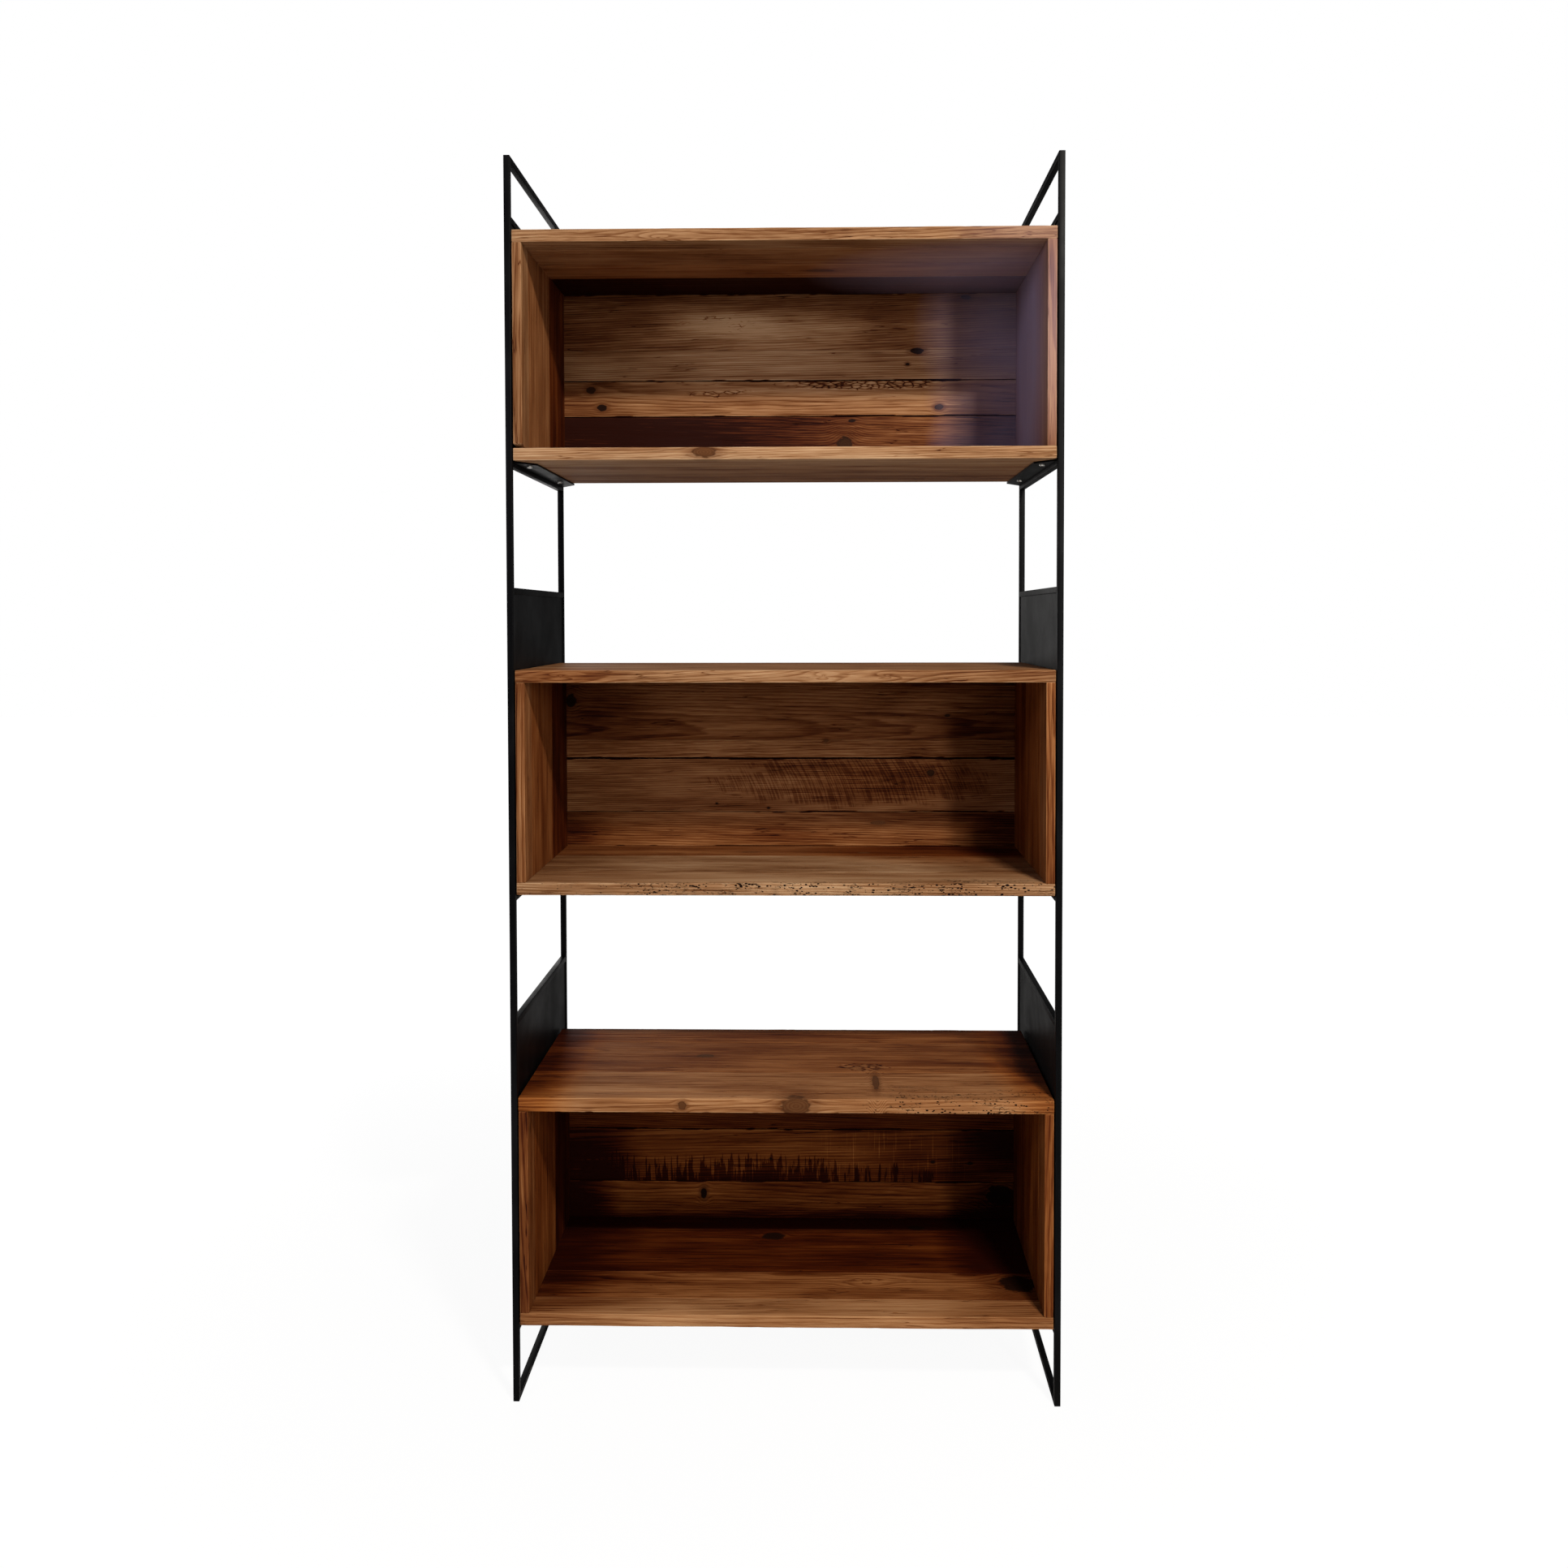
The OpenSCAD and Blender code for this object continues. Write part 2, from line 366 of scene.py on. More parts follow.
def drip_marks(s, along, across, amount):
    """Dark bars that climb from a plank's edge with ragged tops."""
    bar = s.noise(face_pattern(s, along, across, "drip"), detail=3.0, roughness=0.65)
    spread = s.between(bar, 0.36, 0.64)
    shown = s.between(s.calc("SUBTRACT", amount, spread), -0.06, 0.08)
    return s.calc("MULTIPLY", shown, s.between(amount, 0.02, 0.15))


def score_marks(s, along, across, amount):
    """Thin pale scores straight across the grain."""
    score = s.noise(face_pattern(s, along, across, "score"), detail=1.0)
    return s.calc("MULTIPLY", s.between(score, 0.60, 0.68), amount)


def worm_marks(s, grain, amount):
    """Worm holes, and winding galleries between them where the wood is eaten most."""
    near = s.cells(pattern(s, grain, "worm hole")).outputs["Distance"]
    size = s.between(s.noise(pattern(s, grain, "hole size"), detail=1.0), 0.38, 0.70, 0.02, 0.36)
    hole = s.between(s.calc("SUBTRACT", near, s.calc("MULTIPLY", size, amount)), 0.0, 0.05, 1.0, 0.0)
    hole = s.calc("MULTIPLY", hole, s.between(amount, 0.05, 0.20))
    field = s.uneven(pattern(s, grain, "gallery"), detail=1.0, distortion=0.8)
    line = s.between(s.calc("ABSOLUTE", field), 0.006, 0.028, 1.0, 0.0)
    gate = s.between(s.noise(pattern(s, grain, "eaten place"), detail=1.0), 0.50, 0.58)
    gallery = s.calc("MULTIPLY", s.calc("MULTIPLY", line, gate), s.between(amount, 0.3, 0.8))
    return s.calc("MAXIMUM", hole, gallery)


def flake_marks(s, grain, amount):
    """The old skin of the wood where it flakes: pale islands, and dark cracks between them."""
    edge = s.cells(pattern(s, grain, "flake"), "DISTANCE_TO_EDGE").outputs["Distance"]
    patch = s.uneven(pattern(s, grain, "flaked place"), detail=2.0)
    shown = s.between(s.total(amount, (patch, 1.2)), 0.35, 0.60)
    shown = s.calc("MULTIPLY", shown, s.between(amount, 0.02, 0.20))
    crack = s.calc("MULTIPLY", s.between(edge, 0.02, 0.12, 1.0, 0.0), shown)
    island = s.calc("MULTIPLY", s.between(edge, 0.12, 0.30), shown)
    return crack, island


def wood_material():
    """Oiled old softwood. The boards' mesh attributes say where the grain runs, where the knots and
    marks are, and how dark each strip is, so one material serves every board."""
    s = Shader("reclaimed_wood")
    grain = s.attribute("grain")
    along, across, _ = s.split(s.attribute("place"))
    # The tone holds darkness (stain, and painted shade in the boxes' corners and in the gaps between
    # planks), redness, and a painted haze of cool light
    dark, warm, dust_and_painted_haze = s.split(s.attribute("tone"))
    saw, worm, drip = s.split(s.attribute("marks"))
    score, flake, worn = s.split(s.attribute("wear"))
    pushes, knots = wood_knots(s, grain)

    # Fibres, streaks and stains along the grain, from fine to broad
    fibre = s.uneven(pattern(s, grain, "fibre"), detail=2.0, roughness=0.6)
    line = s.noise(pattern(s, grain, "line"), detail=2.0, roughness=0.6)
    streak = s.uneven(pattern(s, grain, "streak"), detail=3.0, roughness=0.6)
    cloud = s.uneven(pattern(s, grain, "cloud"), detail=3.0, roughness=0.55)
    vein = s.noise(pattern(s, grain, "vein"), detail=3.0, roughness=0.6)
    crack, island = flake_marks(s, grain, flake)
    eaten = worm_marks(s, grain, worm)
    parts = {"ring": wood_rings(s, grain, pushes), "streak": streak, "cloud": cloud, "fibre": fibre,
             "dark line": s.between(line, 0.56, 0.70), "pale line": s.between(line, 0.44, 0.32),
             "vein": s.between(vein, 0.56, 0.66), "check": drying_cracks(s, grain),
             "saw line": saw_marks(s, along, across, saw), "drip": drip_marks(s, along, across, drip),
             "score": score_marks(s, along, across, score), "crack": crack, "island": island,
             "worn": worn, "eaten": eaten}
    shade = s.total(dark, *[(parts[name], amount) for name, amount in SHADES.items()])
    colour = s.ramp(shade, WOOD_COLOURS)
    colour = s.mix(warm, colour, s.mix(1.0, colour, RED_TINT, "MULTIPLY"))
    colour = paint_knots(s, colour, knots)
    # Lays the painted haze of cool light over the wood
    colour = s.mix(dust_and_painted_haze, colour, PAINTED_HAZE_COLOUR)
    colour = s.mix(eaten, colour, HOLE_COLOUR)
    s.coat("Base Color", colour)

    rough = s.total(s.between(streak, -0.2, 0.2, *WOOD_ROUGHNESS), (eaten, 0.25))
    s.coat("Roughness", rough)
    s.coat("Specular IOR Level", WOOD_SPECULAR)
    height = s.total(*[(parts[name], amount) for name, amount in HEIGHTS.items()])
    s.bump(height, 0.8, WOOD_RELIEF)
    return s.material


# ---------- other materials

STEEL_COLOURS = ((0.0018, 0.0018, 0.0021), (0.0055, 0.0055, 0.0060))
STEEL_ROUGHNESS = (0.38, 0.52)
STEEL_SPECULAR = 0.055
DOWEL_COLOURS = ((0.52, 0.36, 0.20), (0.36, 0.22, 0.11))
# Colour, stain colour and roughness of the fasteners
ZINC = {"colour": (0.62, 0.61, 0.58), "stain": (0.45, 0.44, 0.42), "rough": 0.30}
DULL_STEEL = {"colour": (0.20, 0.17, 0.15), "stain": (0.12, 0.06, 0.03), "rough": 0.55}


def steel_material():
    """Satin black powder coat: fine orange peel, with rubbed and dusty places."""
    s = Shader("black_powder_coat")
    place = s.add("ShaderNodeTexCoord").outputs["Object"]
    rub = s.noise(place, scale=7.0, detail=4.0, roughness=0.6)
    peel = s.noise(place, scale=900.0)
    dust_and_painted_haze = s.noise(s.stretch(place, (1.0, 1.0, 0.35)), scale=26.0, detail=4.0)
    colour = s.mix(s.between(dust_and_painted_haze, 0.45, 0.75), *STEEL_COLOURS)
    s.coat("Base Color", colour)
    s.coat("Roughness", s.between(rub, 0.3, 0.7, *STEEL_ROUGHNESS))
    s.coat("Specular IOR Level", STEEL_SPECULAR)
    s.bump(peel, 0.25, 0.12 * MM)
    return s.material


def plated_material(name, colour, stain, rough):
    """Bare or plated fastener steel with turned scratches and stains."""
    s = Shader(name)
    place = s.add("ShaderNodeTexCoord").outputs["Object"]
    scratches = s.noise(s.stretch(place, (900, 900, 4000)))
    blotch = s.noise(place, scale=420.0, detail=3.0)
    s.coat("Base Color", s.mix(s.between(blotch, 0.45, 0.7), colour, stain))
    s.coat("Roughness", s.between(scratches, 0.3, 0.7, rough - 0.08, rough + 0.10))
    s.coat("Metallic", 1.0)
    s.bump(scratches, 0.2, 0.05 * MM)
    return s.material


def dowel_material():
    """Pale beech with short flecks along the dowel."""
    s = Shader("beech_dowel")
    place = s.add("ShaderNodeTexCoord").outputs["Object"]
    fleck = s.noise(s.stretch(place, (900, 900, 60)))
    s.coat("Base Color", s.mix(s.between(fleck, 0.4, 0.65), *DOWEL_COLOURS))
    s.coat("Roughness", s.between(fleck, 0.3, 0.7, 0.55, 0.70))
    s.bump(fleck, 0.3, 0.1 * MM)
    return s.material


# ---------- strips of wood

CORNER_RADIUS = 0.8 * MM
CORNER_STEPS = 3
# Width of the band of faces beside a corner and its largest share of a side, and the width of the
# faces between the bands
EDGE_BAND = 1.3 * MM
WIDEST_BAND = 0.3
FACE_STEP = 16 * MM
# Length of the faces along the grain, and along boards that are worn more than MUCH_WORN
GRAIN_STEP = 10 * MM
WORN_STEP = 3 * MM
MUCH_WORN = 0.4
# A strip's two end bands of faces, how far each steps in, and how worn they look
END_STEP = 0.5 * MM
END_BAND = 2 * MM
END_CUTS = (0.7 * MM, 0.15 * MM)
END_WEAR = 0.8
# Length and depth of the bites and the chips out of worn corners
BITE = (16 * MM, 2.4 * MM)
CHIP = (5 * MM, 1.2 * MM)
# Length of the waves in a rubbed corner, its mean depth, and how much that changes
RUB = (60 * MM, 0.35 * MM, 0.30 * MM)
# Share of its wear that a glued corner gets
GLUED = 0.12
# How much darker the painted shade makes the faces inside the gaps between planks, and how far it stays
# below their faces
SEAM_PAINTED_SHADE = 1.1
SEAM_START = 0.5 * MM
SEAM_END = 1 * MM


def add_piece(mesh, material, node):
    """Links a finished mesh to the scene as the piece that stands for a CAD node."""
    piece = bpy.data.objects.new(mesh.name, mesh)
    bpy.context.scene.collection.objects.link(piece)
    mesh.materials.append(material)
    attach(piece, BODY)
    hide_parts(node)


def wave(values, length, rng):
    """Smooth noise between -1 and 1 along a line, with bumps about that length apart."""
    knots = np.arange(values.min() - length, values.max() + 2 * length, length)
    heights = rng.uniform(-1, 1, len(knots))
    place = (values - knots[0]) / length
    first = np.floor(place).astype(int)
    t = place - first
    t = t * t * (3 - 2 * t)
    return heights[first] * (1 - t) + heights[first + 1] * t


def side_shares(span, step):
    """Places along a side, as shares of it: its ends, a narrow band inside them, and even steps."""
    band = min(EDGE_BAND / span, WIDEST_BAND)
    inner = np.linspace(band, 1 - band, max(2, int(span / step) + 1))
    return [0.0, *inner, 1.0]


def outline(corners, step):
    """Points round a right-angled profile of (across, deep, wear) corners, anticlockwise.

    Gives the points, their outward normals, their wear, and the number of the corner they are on."""
    rows = []
    places = [np.array(c[:2], float) for c in corners]
    for i, here in enumerate(places):
        before, after = places[i - 1], places[(i + 1) % len(places)]
        into = (here - before) / np.linalg.norm(here - before)
        out = (after - here) / np.linalg.norm(after - here)
        from_in, from_out = np.array([into[1], -into[0]]), np.array([out[1], -out[0]])
        sticks_out = into[0] * out[1] - into[1] * out[0] > 0
        if sticks_out:
            centre = here - CORNER_RADIUS * (from_in + from_out)
            for k in range(1, CORNER_STEPS):
                angle = math.pi / 2 * k / CORNER_STEPS
                turn = from_in * math.cos(angle) + from_out * math.sin(angle)
                rows.append((*(centre + turn * CORNER_RADIUS), *turn, corners[i][2], i))
        start = here + out * CORNER_RADIUS
        end = after - out * CORNER_RADIUS
        for share in side_shares(np.linalg.norm(end - start), step):
            number = i if share < 0.5 else (i + 1) % len(places)
            wear = corners[number][2] if share in (0.0, 1.0) else 0.0
            rows.append((*(start + (end - start) * share), *from_out, wear, number))
    rows = np.array(rows)
    return rows[:, :2], rows[:, 2:4], rows[:, 4], rows[:, 5].astype(int)


def strip_mesh(length, corners, step, pitch, wear, rng):
    """One strip of wood with its grain along u: vertices (u, v, w), faces, and each vertex's wear."""
    points, normals, worn, numbers = outline(corners, step)
    count = len(points)
    even = np.linspace(END_BAND, length - END_BAND, int(length / pitch))
    stations = np.concatenate([[0, END_STEP], even, [length - END_STEP, length]])
    u = np.repeat(stations, count)
    index = np.tile(np.arange(count), len(stations))
    inset = np.zeros(len(u))
    for number in range(len(corners)):
        here = worn[index] * (numbers[index] == number)
        depth = 0
        for bump_length, bump_depth in (BITE, CHIP):
            depth += np.clip(wave(u, bump_length, rng) - (1 - wear), 0, 1) * bump_depth
        depth += RUB[1] + RUB[2] * wave(u, RUB[0], rng)
        inset += here * depth
    from_end = np.minimum(u, length - u)
    at_end = from_end < END_STEP / 2
    near_end = from_end < END_BAND / 2
    inset += np.where(at_end, END_CUTS[0], np.where(near_end, END_CUTS[1], 0))
    flat = points[index] - normals[index] * inset[:, None]
    ring = np.arange(count)
    first = np.arange(len(stations) - 1)[:, None] * count
    a, b = first + ring, first + np.roll(ring, -1)
    faces = np.stack([a, b, b + count, a + count], 2).reshape(-1, 4).tolist()
    faces.append(ring[::-1].tolist())
    faces.append((ring + (len(stations) - 1) * count).tolist())
    return np.column_stack([u, flat]), faces, np.maximum(worn[index], near_end * END_WEAR)


# ---------- boards

# A strip's share of the board's width, how dark and how red it is, and how flat-sawn
Strip = namedtuple("Strip", "share dark warm figure", defaults=(0.2, 0.3))
# A knot's place in shares of the board, its half length and half width in millimetres, its
# darkness, and its half thickness, which on most knots is more than the board's
Knot = namedtuple("Knot", "along across deep length width dark thick", defaults=(0.5, 90))
# A soft-edged ellipse of paint or marks: its kind, middle, half sizes in shares of the board, and
# strength
Blot = namedtuple("Blot", "kind along across length width amount")
# Which attribute and which of its parts each kind of blot paints; the kind for the tone's third part paints
# a haze of cool light into the colour
BLOT_LAYERS = {"dark": ("tone", 0), "warm": ("tone", 1), "dust_and_painted_haze": ("tone", 2),
               "saw": ("marks", 0), "worm": ("marks", 1), "drip": ("marks", 2),
               "score": ("wear", 0), "flake": ("wear", 1)}

# Axes of the frame that a sort of board has its grain, width and thickness along, and its slot
Sort = namedtuple("Sort", "axes slot")
SHELF_BOARD = Sort((0, 1, 2), "shelf_wood")
SIDE_BOARD = Sort((2, 1, 0), "side_wood")
PLANK = Sort((0, 2, 1), "back_wood")
# Lip and rebate of the shiplapped planks
LAP_HEIGHT = 8 * MM
LAP_THICK = 5 * MM
LAP_PLAY = 0.5 * MM
# The outer planks swell over the CAD's play above and below them, so that no light comes through
SWELLING = 0.45 * MM
# Distance of the log's heart from quarter-sawn and flat-sawn strips, and its spread along the grain
HEART_REACH = (0.13, 0.035)
HEART_SPREAD = 5
# Steepest slope of the grain in a quarter-sawn strip, and what flat sawing adds
GRAIN_SLOPE = (0.010, 0.035)
# A place so far from a knot, in half sizes of it, that nothing of it shows
NO_KNOT = 9.0
# How far a knot can reach into a strip, in half widths of it
KNOT_SPREAD = 1.6
# Distance at which a blot has faded away, in half sizes of it
BLOT_END = 1.5
# Marks that need a finer mesh
FINE_MARKS = ("drip", "saw", "flake")
SHARP_WOOD = math.radians(50)


class Board:
    """A board of glued strips, side by side, in its CAD node's box."""

    def __init__(self, node, sort, strips, knots=(), blots=(), wear=0.25, shape=None):
        self.node, self.sort, self.strips = node, sort, strips
        self.knots, self.blots, self.wear, self.shape = knots, blots, wear, shape
        self.low, self.high = (np.array(c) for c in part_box(node))
        self.lip, self.rebate = 0.0, 0.0
        if sort is PLANK:
            self.fit_plank()
        self.axes = list(sort.axes)
        size = (self.high - self.low)[self.axes]
        self.length, self.width, self.thick = size - np.array([0, self.lip, 0])

    def fit_plank(self):
        """Works out the plank's lip and rebate, and closes the play at the ends of the back."""
        number = int(self.node[-1])
        if number > 1:
            self.lip = LAP_HEIGHT
        else:
            self.high[2] += SWELLING
        if number == 3:
            self.low[2] -= SWELLING
        else:
            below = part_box(self.node[:-1] + str(number + 1))[1]
            self.rebate = below.z - self.low[2] + LAP_PLAY

    def corners(self, start, end, first, last):
        """Profile of a strip that reaches from start to end across the board."""
        lower, upper = (1.0 if first else GLUED), (1.0 if last else GLUED)
        thick = self.thick
        profile = [(start, 0, lower), (end, 0, upper)]
        if last and self.lip:
            face = thick - LAP_THICK
            profile += [(end, face, 0), (end + self.lip, face, GLUED), (end + self.lip, thick, GLUED)]
        else:
            profile += [(end, thick, upper)]
        if first and self.rebate:
            face = thick - LAP_THICK - LAP_PLAY
            profile += [(start + self.rebate, thick, GLUED), (start + self.rebate, face, 0),
                        (start, face, GLUED)]
        else:
            profile += [(start, thick, lower)]
        return profile

    def grain(self, points, strip, middle, rng):
        """Each point's place in the log that the strip was sawn from."""
        angle = math.pi / 2 * strip.figure
        reach = HEART_REACH[0] + (HEART_REACH[1] - HEART_REACH[0]) * strip.figure
        side = rng.choice([-1, 1])
        heart = np.array([rng.uniform(-HEART_SPREAD, HEART_SPREAD),
                          side * reach * math.cos(angle), reach * math.sin(angle)])
        tilt = rng.uniform(-1, 1, 2) * (GRAIN_SLOPE[0] + GRAIN_SLOPE[1] * strip.figure)
        place = points - middle - heart
        place[:, 1] += points[:, 0] * tilt[0]
        place[:, 2] += points[:, 0] * tilt[1]
        return place

    def knot_layers(self, points, start, end):
        """Places, widths and darkness of up to KNOT_SLOTS knots that show in the strip."""
        scale = np.array([self.length, self.width, self.thick])
        layers = {f"knot_{i}": np.full((len(points), 3), NO_KNOT) for i in range(KNOT_SLOTS)}
        widths, darks = np.zeros(KNOT_SLOTS), np.zeros(KNOT_SLOTS)
        near = []
        for knot in self.knots:
            spread = KNOT_SPREAD * knot.width * MM
            if start - spread < knot.across * self.width < end + spread:
                near.append(knot)
        for slot, knot in enumerate(near[:KNOT_SLOTS]):
            centre = np.array([knot.along, knot.across, knot.deep]) * scale
            half_size = np.array([knot.length, knot.width, knot.thick]) * MM
            layers[f"knot_{slot}"] = (points - centre) / half_size
            widths[slot], darks[slot] = min(knot.width, knot.thick) * MM, knot.dark
        layers["knot_width"] = np.tile(widths, (len(points), 1))
        layers["knot_dark"] = np.tile(darks, (len(points), 1))
        return layers

    def paint(self, layers, shares):
        """Adds the board's blots to its layers."""
        for blot in self.blots:
            far = np.hypot((shares[:, 0] - blot.along) / blot.length,
                           (shares[:, 1] - blot.across) / blot.width)
            fade = np.clip(BLOT_END - far, 0, 1)
            name, part = BLOT_LAYERS[blot.kind]
            if name == "tone":
                layers[name][:, part] += blot.amount * fade
            else:
                layers[name][:, part] = np.maximum(layers[name][:, part], blot.amount * fade)

    def strip_layers(self, rng):
        """Builds every strip, and gives the board's points, faces and attribute layers."""
        points, faces, layers = [], [], []
        total = sum(s.share for s in self.strips)
        start, first_point = 0.0, 0
        marked = any(blot.kind in FINE_MARKS for blot in self.blots)
        step = FACE_STEP / 2 if marked else FACE_STEP
        pitch = WORN_STEP if self.wear > MUCH_WORN else GRAIN_STEP
        for number, strip in enumerate(self.strips):
            end = start + self.width * strip.share / total
            corners = self.corners(start, end, number == 0, strip is self.strips[-1])
            placed, its_faces, worn = strip_mesh(self.length, corners, step, pitch, self.wear, rng)
            middle = np.array([0, (start + end) / 2, self.thick / 2])
            count = len(placed)
            deep = placed[:, 2]
            # Faces inside the gaps between planks get painted shade
            seam = (deep > SEAM_START) & (deep < self.thick - SEAM_END) & (self.sort is PLANK)
            tone = np.tile([strip.dark, strip.warm, 0.0], (count, 1)) + np.outer(seam, [SEAM_PAINTED_SHADE, 0, 0])
            its = {"place": placed - [self.length / 2, self.width / 2, 0],
                   "grain": self.grain(placed, strip, middle, rng),
                   "tone": tone,
                   "marks": np.zeros((count, 3)),
                   "wear": np.column_stack([np.zeros((count, 2)), worn])}
            its.update(self.knot_layers(placed, start, end))
            points.append(placed)
            faces += [[i + first_point for i in face] for face in its_faces]
            layers.append(its)
            start, first_point = end, first_point + count
        joined = {name: np.concatenate([its[name] for its in layers]) for name in layers[0]}
        return np.concatenate(points), faces, joined

    def build(self, material, seed):
        """Makes the board's mesh, with the attributes that its material reads."""
        rng = np.random.default_rng(seed)
        points, faces, layers = self.strip_layers(rng)
        self.paint(layers, points / np.array([self.length, self.width, self.thick]))
        if self.shape:
            points = self.shape(points, self)
        places = np.empty_like(points)
        places[:, self.axes] = points
        places += self.low
        mesh = bpy.data.meshes.new(self.node + "_wood")
        mesh.from_pydata(places.tolist(), [], faces)
        for name, values in layers.items():
            layer = mesh.attributes.new(name, "FLOAT_VECTOR", "POINT")
            layer.data.foreach_set("vector", values.astype(np.float32).ravel())
        mirrored = np.linalg.det(np.eye(3)[self.axes]) < 0
        if mirrored:
            mesh.flip_normals()
        mesh.shade_smooth()
        mesh.set_sharp_from_angle(angle=SHARP_WOOD)
        add_piece(mesh, material, self.node)


# Waves in the back edge of the middle box's top board: their band, middle and half length as shares
# of the board, their length and depth, and how far they lean towards biting in
BACK_BAND = 0.07
BACK_MIDDLE = 0.50
BACK_REACH = 0.22
BACK_WAVE = (70 * MM, 7 * MM)
BACK_LEAN = 0.35
BACK_SEED = 5
# Height and depth of the worn foot of a side board, and how far it is lifted
FOOT_SIZE = (60 * MM, 36 * MM)
FOOT_LIFT = 6.5 * MM


def wavy_back(points, board):
    """Eats slow waves into the middle of a board's back edge."""
    rng = np.random.default_rng(BACK_SEED)
    near_back = np.clip((points[:, 1] / board.width - (1 - BACK_BAND)) / BACK_BAND, 0, 1)
    dips = np.clip(wave(points[:, 0], BACK_WAVE[0], rng) + BACK_LEAN, 0, 1) * BACK_WAVE[1]
    middle = np.clip(1 - np.abs(points[:, 0] / board.length - BACK_MIDDLE) / BACK_REACH, 0, 1)
    points[:, 1] -= near_back * dips * middle
    return points


def short_foot(points, board):
    """Lifts the worn front corner of a side board off the board below it."""
    foot = np.clip(1 - points[:, 0] / FOOT_SIZE[0], 0, 1)
    front = np.clip(1 - points[:, 1] / FOOT_SIZE[1], 0, 1)
    points[:, 0] += foot * front * FOOT_LIFT
    return points


# ---------- the three boxes


def lower_box():
    """The lowest box: the darkest one inside, partly from painted shade in its corners, with a thick,
    worm-eaten top board.
    """
    return [
        Board("lower_box_top_board", SHELF_BOARD,
              [Strip(29, 0.28, 0.45, 0.5), Strip(91, 0.31, 0.45, 0.5), Strip(150, 0.45, 0.65, 0.3),
               Strip(75, 0.48, 0.75, 0.2)],
              knots=[Knot(0.331, 0.576, 0.9, 16, 7), Knot(0.672, 0.215, 0.9, 6, 34, 0.35),
                     Knot(0.52, -0.01, 0.5, 26, 40, 0.25, 15), Knot(0.307, 0.0, 0.5, 7, 14, 0.3, 7),
                     Knot(0.408, 0.0, 0.45, 6, 14, 0.4, 7)],
              blots=[Blot("worm", 0.84, 0.02, 0.2, 0.07, 0.9), Blot("worm", 0.74, 0.13, 0.1, 0.05, 0.6),
                     Blot("worm", 0.94, 0.08, 0.08, 0.06, 0.9), Blot("flake", 0.66, 0.42, 0.07, 0.06, 0.6),
                     # The dark, red blots at both ends are painted shade, reddish, beside the side frames
                     Blot("dark", 0.0, 0.6, 0.06, 0.9, 0.34), Blot("warm", 0.0, 0.6, 0.08, 0.9, 0.9),
                     Blot("dark", 1.0, 0.7, 0.055, 0.7, 0.34), Blot("warm", 1.0, 0.7, 0.08, 0.7, 0.9)],
              wear=0.45),
        Board("lower_box_bottom_board", SHELF_BOARD,
              [Strip(52, 0.17, 0.5, 0.4), Strip(85, 0.42, 0.7, 0.7), Strip(153, 0.76, 1.0, 0.2),
               Strip(55, 1.04, 1.0, 0.1)],
              knots=[Knot(0.465, 0.76, 0.9, 22, 13, 1.0), Knot(0.769, 0.862, 0.9, 16, 9, 1.0),
                     Knot(0.655, 0.31, 0.9, 34, 15, SWIRL), Knot(0.952, 0.3, 0.9, 32, 28, 1.0)],
              # The darkest rear strip above paints shade along the back of the box, and the dark blots at
              # the two rear corners are painted shade in its corners
              blots=[Blot("dark", 0.98, 0.66, 0.12, 0.36, 0.5), Blot("dark", 0.02, 0.6, 0.12, 0.4, 0.26),
                     Blot("dark", 0.12, 0.33, 0.14, 0.07, 0.25), Blot("dark", 0.05, 0.1, 0.16, 0.14, 0.24),
                     Blot("dark", 0.95, 0.1, 0.16, 0.14, 0.2)]),
        *side_boards("lower", 0.12, 0.5),
        Board("lower_box_back_plank_1", PLANK, [Strip(1, 0.62, 1.3, 0.4)]),
        Board("lower_box_back_plank_2", PLANK, [Strip(1, 0.48, 1.3, 0.5)],
              knots=[Knot(0.808, 0.39, 0.1, 4, 3, 1.0), Knot(0.889, 0.37, 0.1, 5, 3, 1.0),
                     Knot(0.456, 0.44, 0.1, 2.5, 2.5, 1.0)],
              blots=[Blot("drip", 0.42, -0.06, 0.3, 0.42, 1.0), Blot("drip", 0.1, 0.1, 0.08, 0.35, 1.0),
                     Blot("score", 0.72, 0.45, 0.16, 0.45, 1.0), Blot("score", 0.4, 0.1, 0.2, 0.25, 0.6),
                     # The dark blots at the plank's two ends are painted shade in the box's inner corners
                     Blot("dark", 0.84, 0.35, 0.14, 0.5, 0.16), Blot("dark", 0.99, 0.9, 0.1, 0.5, 0.6),
                     Blot("dark", 0.03, 0.3, 0.11, 0.8, 0.5), Blot("dark", 0.4, 0.0, 0.4, 0.25, 0.12)]),
        Board("lower_box_back_plank_3", PLANK, [Strip(1, 0.5, 1.3, 0.6)],
              knots=[Knot(0.31, 0.68, 0.1, 6, 11, 1.0), Knot(0.953, 0.66, 0.1, 26, 21, 1.0)],
              # The dark blots at both ends are painted shade in the box's inner corners, and the one along
              # the bottom is painted shade where the back meets the floor
              blots=[Blot("dark", 0.0, 0.5, 0.09, 0.9, 0.65), Blot("dark", 1.0, 0.3, 0.1, 0.6, 0.5),
                     Blot("dark", 0.5, -0.05, 0.6, 0.25, 0.4)]),
    ]


